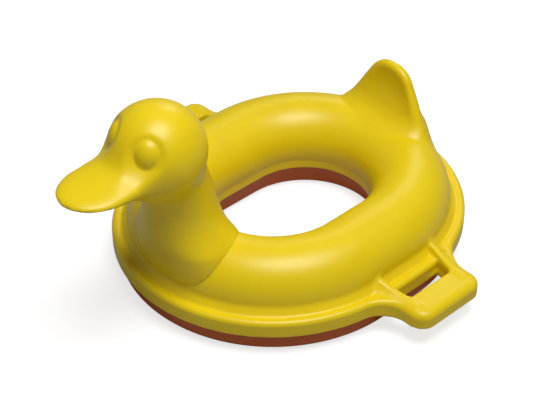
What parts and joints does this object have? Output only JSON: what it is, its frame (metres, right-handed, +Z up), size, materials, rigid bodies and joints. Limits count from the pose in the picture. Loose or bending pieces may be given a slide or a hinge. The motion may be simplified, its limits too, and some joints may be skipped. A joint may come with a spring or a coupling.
{
  "type": "floating chlorine dispenser",
  "caption": "Ring-shaped floating chlorine dispenser with a duck head and tail, side lift loops, a lift-off slotted tablet tray and a turning dosing ring.",
  "frame": {"origin": "centre of the object's bounding box, on the plane of the tray's feet", "axes": "+Z up, the duck's head towards -Y and its tail towards +Y, the lift loops at +X and -X"},
  "size_m": [0.234, 0.255, 0.1345],
  "materials": {
    "yellow_shell": "satin, waxy moulded",
    "orange_tray": "satin moulded",
    "natural_plastic": "satin moulded, uncoloured",
    "seal_rubber": "matte",
    "stainless_steel": "brushed",
    "ballast_iron": "cast, coated"
  },
  "bodies": {
    "tray": {"tablet_tray": "orange_tray", "tablet_grate": "natural_plastic", "grate_screws": "stainless_steel", "detent_spring": "stainless_steel", "detent_screw": "stainless_steel"},
    "float": {"ring_shell": "yellow_shell", "head_shell": "yellow_shell", "neck_gasket": "seal_rubber", "neck_clamp": "natural_plastic", "neck_screws": "stainless_steel", "bulkhead": "natural_plastic", "outer_seal": "seal_rubber", "inner_seal": "seal_rubber", "bulkhead_screws": "stainless_steel", "chamber_plug": "seal_rubber", "ballast_weight": "ballast_iron", "ballast_screws": "stainless_steel"},
    "dosing_shutter": {"dosing_ring": "natural_plastic", "dosing_knob": "orange_tray", "knob_screw": "stainless_steel"}
  },
  "joints": [
    {"name": "float_lift", "type": "slide", "parent": "tray", "child": "float", "axis": [0, 0, 1], "range_m": [0, 0.045]},
    {"name": "dosing_turn", "type": "hinge", "parent": "tray", "child": "dosing_shutter", "pos_m": [0, 0.0245, 0.0052], "axis": [0, 0, 1], "range_deg": [0, 11.25]}
  ]
}
